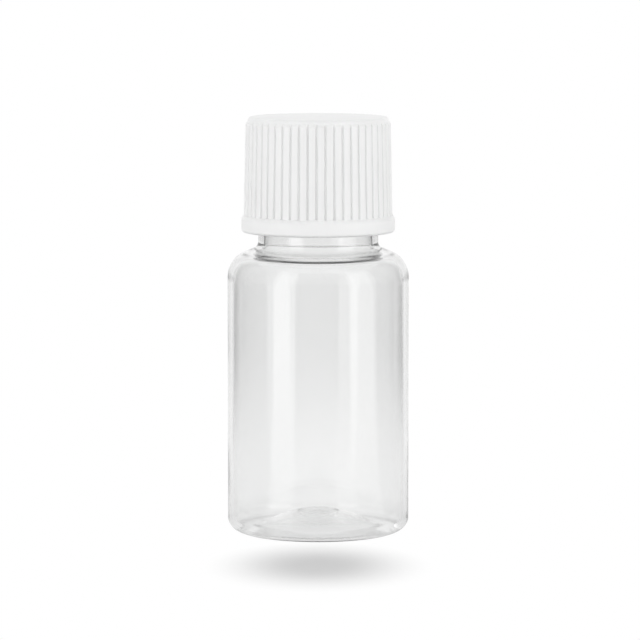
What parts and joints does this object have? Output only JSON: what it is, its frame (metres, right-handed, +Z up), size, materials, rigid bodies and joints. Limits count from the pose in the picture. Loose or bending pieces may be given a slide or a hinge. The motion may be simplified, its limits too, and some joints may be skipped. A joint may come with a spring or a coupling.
{
  "type": "screw cap bottle",
  "caption": "Small clear cylindrical bottle with a sloping shoulder and a white ribbed screw cap, for lotions or liquids.",
  "frame": {"origin": "centre of the foot, on the surface that the bottle stands on", "axes": "+Z up along the bottle's axis, from the foot to the cap; -Y is the side that the picture shows"},
  "size_m": [0.032, 0.032, 0.0735],
  "materials": {
    "clear_pet": "clear PET, polished, slightly grey at the edges",
    "white_pp": "satin white polypropylene",
    "white_foam": "matte white expanded polyethylene foam"
  },
  "bodies": {
    "bottle": {"bottle": "clear_pet"},
    "liner": {"liner": "white_foam"},
    "cap": {"cap": "white_pp"},
    "tamper_band": {"tamper_band": "white_pp"}
  },
  "joints": [
    {"name": "cap_lift", "type": "slide", "parent": "bottle", "child": "liner", "axis": [0, 0, 1], "range_m": [0, 0.0143]},
    {"name": "cap_turn", "type": "hinge", "parent": "liner", "child": "cap", "pos_m": [0, 0, 0.05616], "axis": [0, 0, 1], "range_deg": [0, 1620]},
    {"name": "band_turn", "type": "hinge", "parent": "bottle", "child": "tamper_band", "pos_m": [0, 0, 0.05326], "axis": [0, 0, 1], "continuous": true}
  ],
  "couplings": [
    {"joint": "cap_lift", "follows": "cap_turn", "m_per_rad": 0.00050532}
  ]
}
